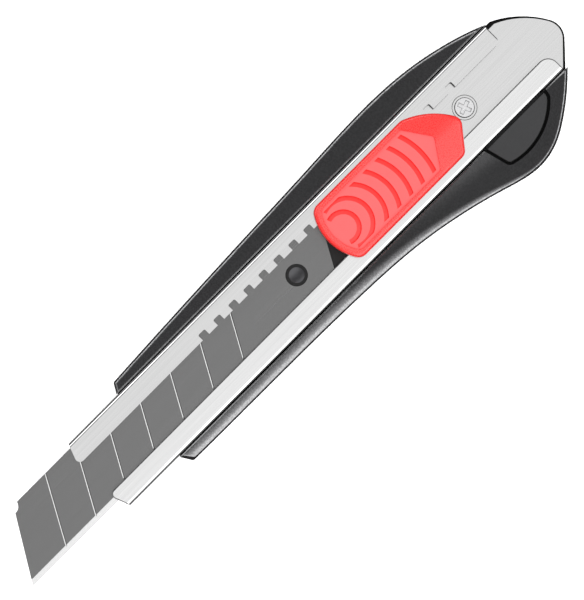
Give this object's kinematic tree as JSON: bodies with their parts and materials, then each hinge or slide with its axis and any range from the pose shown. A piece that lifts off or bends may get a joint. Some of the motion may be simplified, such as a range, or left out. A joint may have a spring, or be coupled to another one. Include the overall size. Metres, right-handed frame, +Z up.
{
  "type": "utility knife",
  "caption": "Snap-off utility knife: segmented blade in a folded steel rail between two gunmetal grips, red notched-lock thumb slider, half-moon release button.",
  "frame": {"origin": "on the flat back plate that the knife rests on, on the rail's centreline, halfway between the front of the grips and the butt", "axes": "+X from the blade's tip to the butt, +Y to the side of the blade's spine and the notched lip, +Z up from the rest plane to the thumb slider"},
  "size_m": [0.1945, 0.042, 0.017],
  "materials": {
    "blade_steel": "carbon tool steel, ground, lightly oiled",
    "rail_steel": "stainless sheet, satin",
    "spring_steel": "spring steel, bright",
    "screw_steel": "steel, nickel plated",
    "blackened_steel": "steel, blackened",
    "brass": "brass, turned",
    "gunmetal": "zinc die casting, gunmetal plating, satin",
    "black_abs": "ABS, moulded, black",
    "black_acetal": "acetal, moulded, black",
    "grey_abs": "ABS, moulded, dark grey, matte",
    "red_abs": "ABS, moulded, red, satin gloss",
    "red_pad": "soft elastomer, moulded, light red"
  },
  "bodies": {
    "handle": {"channel_rail": "rail_steel", "rail_screw": "screw_steel", "screw_insert": "brass", "cartridge_tray": "black_abs", "upper_grip": "gunmetal", "lower_grip": "gunmetal", "back_plate": "black_abs", "back_screws": "screw_steel", "button_guide": "black_abs", "button_spring": "spring_steel", "spare_blade_1": "blade_steel", "spare_blade_2": "blade_steel"},
    "carriage": {"blade": "blade_steel", "blade_carrier": "black_acetal", "blade_peg": "blackened_steel", "lock_spring": "spring_steel", "spring_rivets": "spring_steel"},
    "slider": {"thumb_slider": "red_abs", "thumb_pad": "red_pad"},
    "button": {"release_button": "grey_abs"}
  },
  "joints": [
    {"name": "blade_slide", "type": "slide", "parent": "handle", "child": "carriage", "axis": [-1, 0, 0], "range_m": [-0.0346, 0.0535], "deforming": ["lock_spring"]},
    {"name": "slider_shift", "type": "slide", "parent": "carriage", "child": "slider", "axis": [-1, 0, 0], "range_m": [-0.0008, 0.0008], "stiffness_N_per_m": 1500},
    {"name": "button_press", "type": "slide", "parent": "handle", "child": "button", "axis": [0, 0, -1], "range_m": [0, 0.0012], "stiffness_N_per_m": 1000, "springref_m": -0.001, "deforming": ["button_spring"]}
  ]
}
